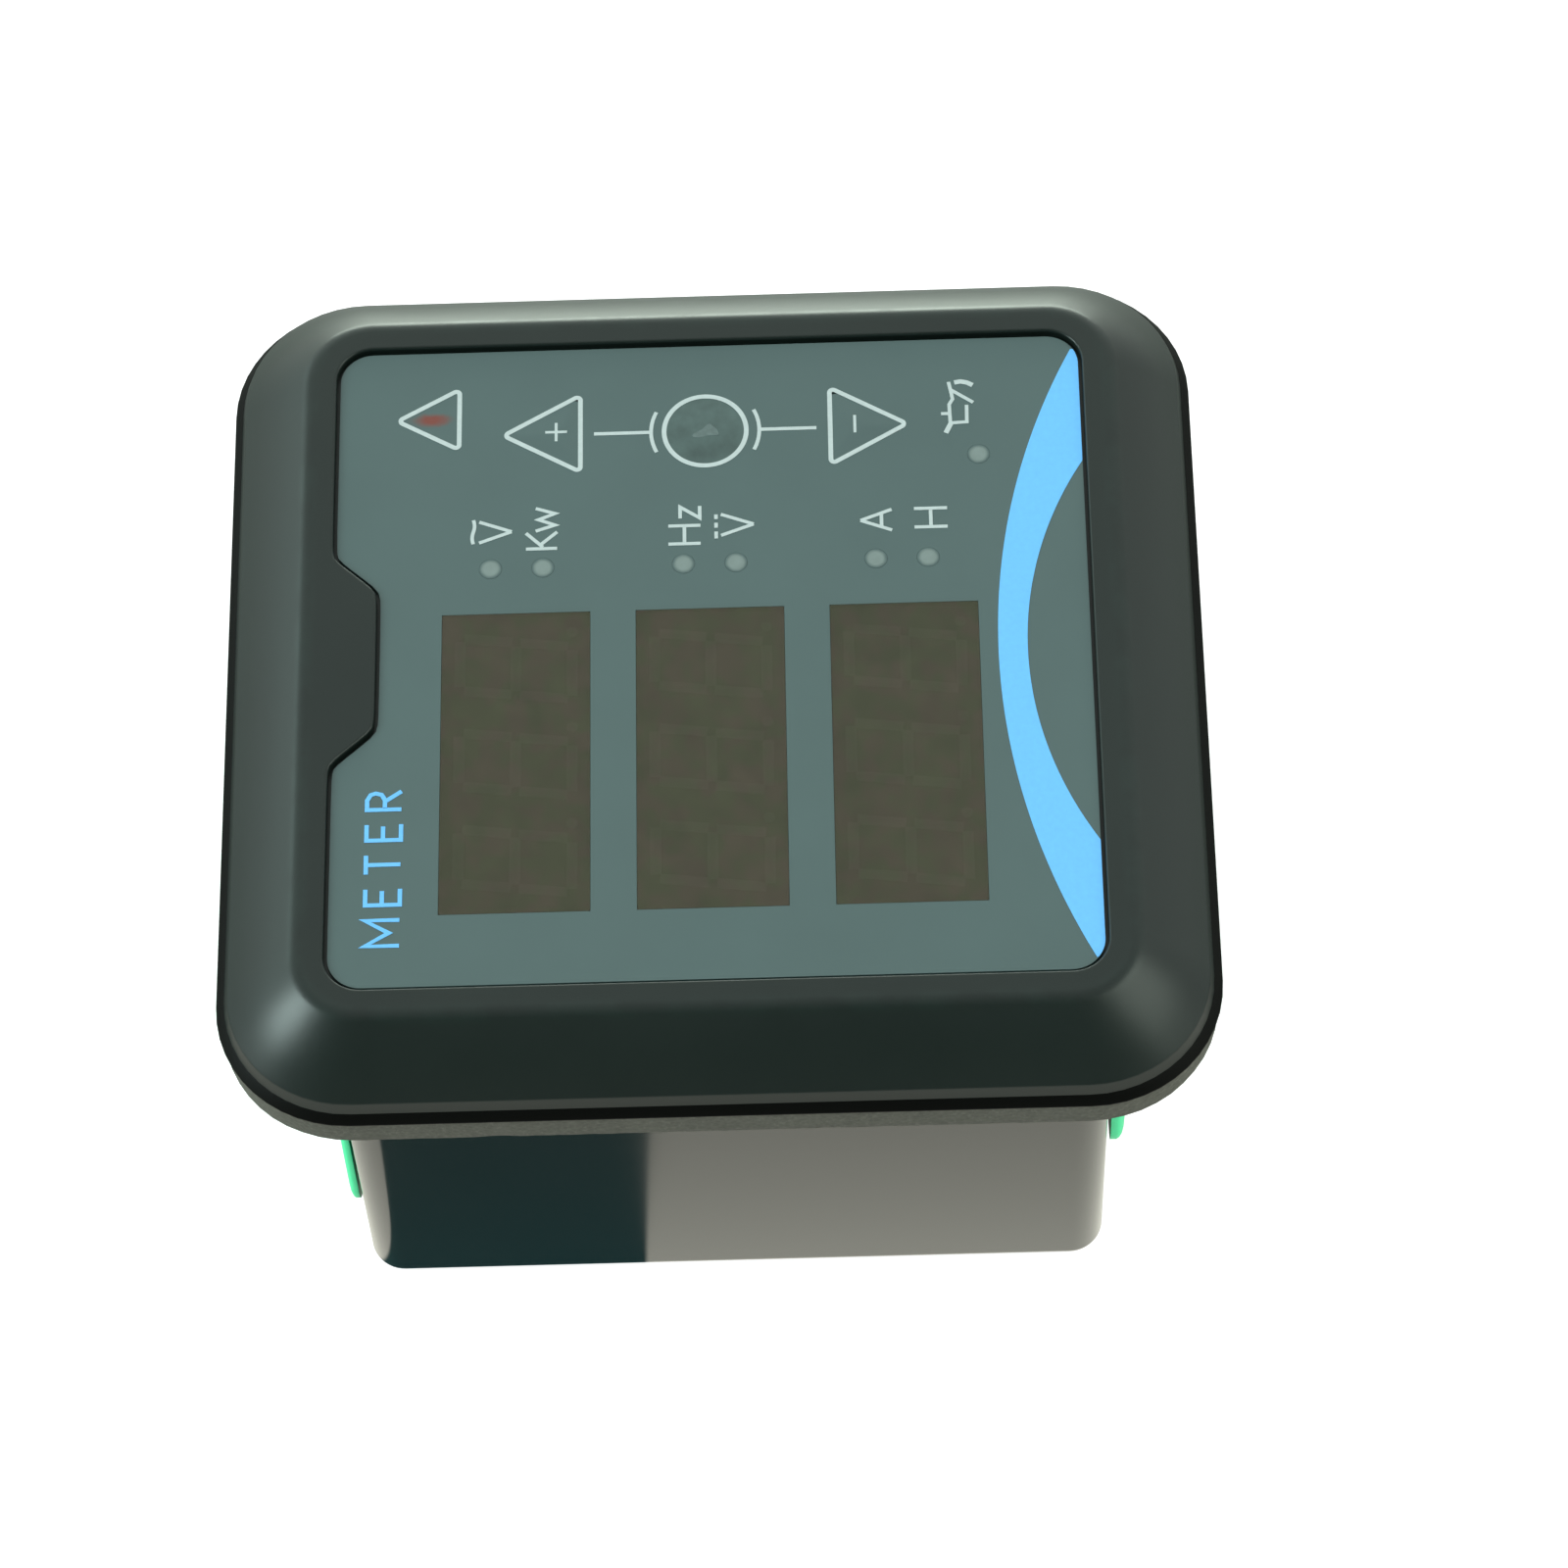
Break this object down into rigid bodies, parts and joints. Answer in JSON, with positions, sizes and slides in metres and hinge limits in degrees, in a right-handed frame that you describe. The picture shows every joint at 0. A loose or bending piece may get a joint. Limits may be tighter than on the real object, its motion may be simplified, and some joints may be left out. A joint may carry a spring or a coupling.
{
  "type": "digital panel meter",
  "caption": "Square flush-mount generator panel meter: sloped bezel, three LED number windows, triangle and ring keys, deep rear case with panel clips and plug-in terminals.",
  "frame": {"origin": "centre of the outline on the plane of the flat rear face, which the meter rests on", "axes": "+Z out of the face, +Y towards the edge with the locating tab (top), +X to the right of the face"},
  "size_m": [0.0824, 0.0842, 0.0525],
  "materials": {
    "bezel_plastic": "moulded black plastic, fine satin",
    "face_film": "printed film, fine matt grey-green",
    "smoked_filter": "smoked brown filter, matt",
    "gasket_foam": "closed-cell foam, olive grey",
    "case_plastic": "moulded black plastic, glossy",
    "clip_nylon": "bright green nylon, satin",
    "display_epoxy": "black display face, matt",
    "lamp_lens": "milky diffused lens",
    "board_laminate": "green solder mask, satin",
    "chip_epoxy": "black moulded epoxy, matt",
    "plated_steel": "zinc plated, satin",
    "terminal_nylon": "green terminal nylon, satin",
    "white_nylon": "natural nylon, satin",
    "capacitor_sleeve": "dark blue shrink sleeve",
    "varistor_coating": "blue dipped coating",
    "winding_wire": "enamelled copper wire",
    "label_stock": "silver grey label, matt"
  },
  "bodies": {
    "housing": {"front_bezel": "bezel_plastic", "face_film": "face_film", "rear_case": "case_plastic", "panel_gasket": "gasket_foam", "display_board": "board_laminate", "main_board": "board_laminate", "link_socket": "chip_epoxy", "link_header": "chip_epoxy", "microcontroller": "chip_epoxy", "display_driver": "chip_epoxy", "filter_capacitor_large": "capacitor_sleeve", "filter_capacitor_small": "capacitor_sleeve", "current_transformer": "chip_epoxy", "transformer_winding": "winding_wire", "bridge_rectifier": "chip_epoxy", "voltage_regulator": "chip_epoxy", "surge_varistor": "varistor_coating", "fuse": "chip_epoxy", "terminal_header_power": "terminal_nylon", "terminal_header_sensor": "terminal_nylon", "terminal_label": "label_stock", "display_filter_top": "smoked_filter", "display_module_top": "display_epoxy", "display_filter_middle": "smoked_filter", "display_module_middle": "display_epoxy", "display_filter_bottom": "smoked_filter", "display_module_bottom": "display_epoxy", "lamp_volts_ac": "lamp_lens", "lamp_power": "lamp_lens", "lamp_frequency": "lamp_lens", "lamp_volts_dc": "lamp_lens", "lamp_current": "lamp_lens", "lamp_hours": "lamp_lens", "lamp_oil": "lamp_lens", "lamp_warning": "lamp_lens", "switch_body_plus": "chip_epoxy", "switch_body_select": "chip_epoxy", "switch_body_minus": "chip_epoxy", "case_screw_1": "plated_steel", "board_spacer_1": "white_nylon", "case_screw_2": "plated_steel", "board_spacer_2": "white_nylon", "case_screw_3": "plated_steel", "board_spacer_3": "white_nylon", "case_screw_4": "plated_steel", "board_spacer_4": "white_nylon"},
    "key_plus": {"key_plus": "face_film", "switch_stem_plus": "white_nylon"},
    "key_select": {"key_select": "face_film", "switch_stem_select": "white_nylon"},
    "key_minus": {"key_minus": "face_film", "switch_stem_minus": "white_nylon"},
    "clip_top": {"panel_clip_top": "clip_nylon"},
    "clip_bottom": {"panel_clip_bottom": "clip_nylon"},
    "plug_power": {"terminal_plug_power": "terminal_nylon"},
    "plug_sensor": {"terminal_plug_sensor": "terminal_nylon"}
  },
  "joints": [
    {"name": "press_plus", "type": "slide", "parent": "housing", "child": "key_plus", "axis": [0, 0, 1], "range_m": [-0.0003, 0], "stiffness_N_per_m": 5000},
    {"name": "press_select", "type": "slide", "parent": "housing", "child": "key_select", "axis": [0, 0, 1], "range_m": [-0.0003, 0], "stiffness_N_per_m": 5000},
    {"name": "press_minus", "type": "slide", "parent": "housing", "child": "key_minus", "axis": [0, 0, 1], "range_m": [-0.0003, 0], "stiffness_N_per_m": 5000},
    {"name": "slide_clip_top", "type": "slide", "parent": "housing", "child": "clip_top", "axis": [0, 0, 1], "range_m": [-0.004, 0.0114]},
    {"name": "slide_clip_bottom", "type": "slide", "parent": "housing", "child": "clip_bottom", "axis": [0, 0, 1], "range_m": [-0.0117, 0.0037]},
    {"name": "pull_plug_power", "type": "slide", "parent": "housing", "child": "plug_power", "axis": [0, 0, -1], "range_m": [0, 0.012]},
    {"name": "pull_plug_sensor", "type": "slide", "parent": "housing", "child": "plug_sensor", "axis": [0, 0, -1], "range_m": [0, 0.012]}
  ]
}
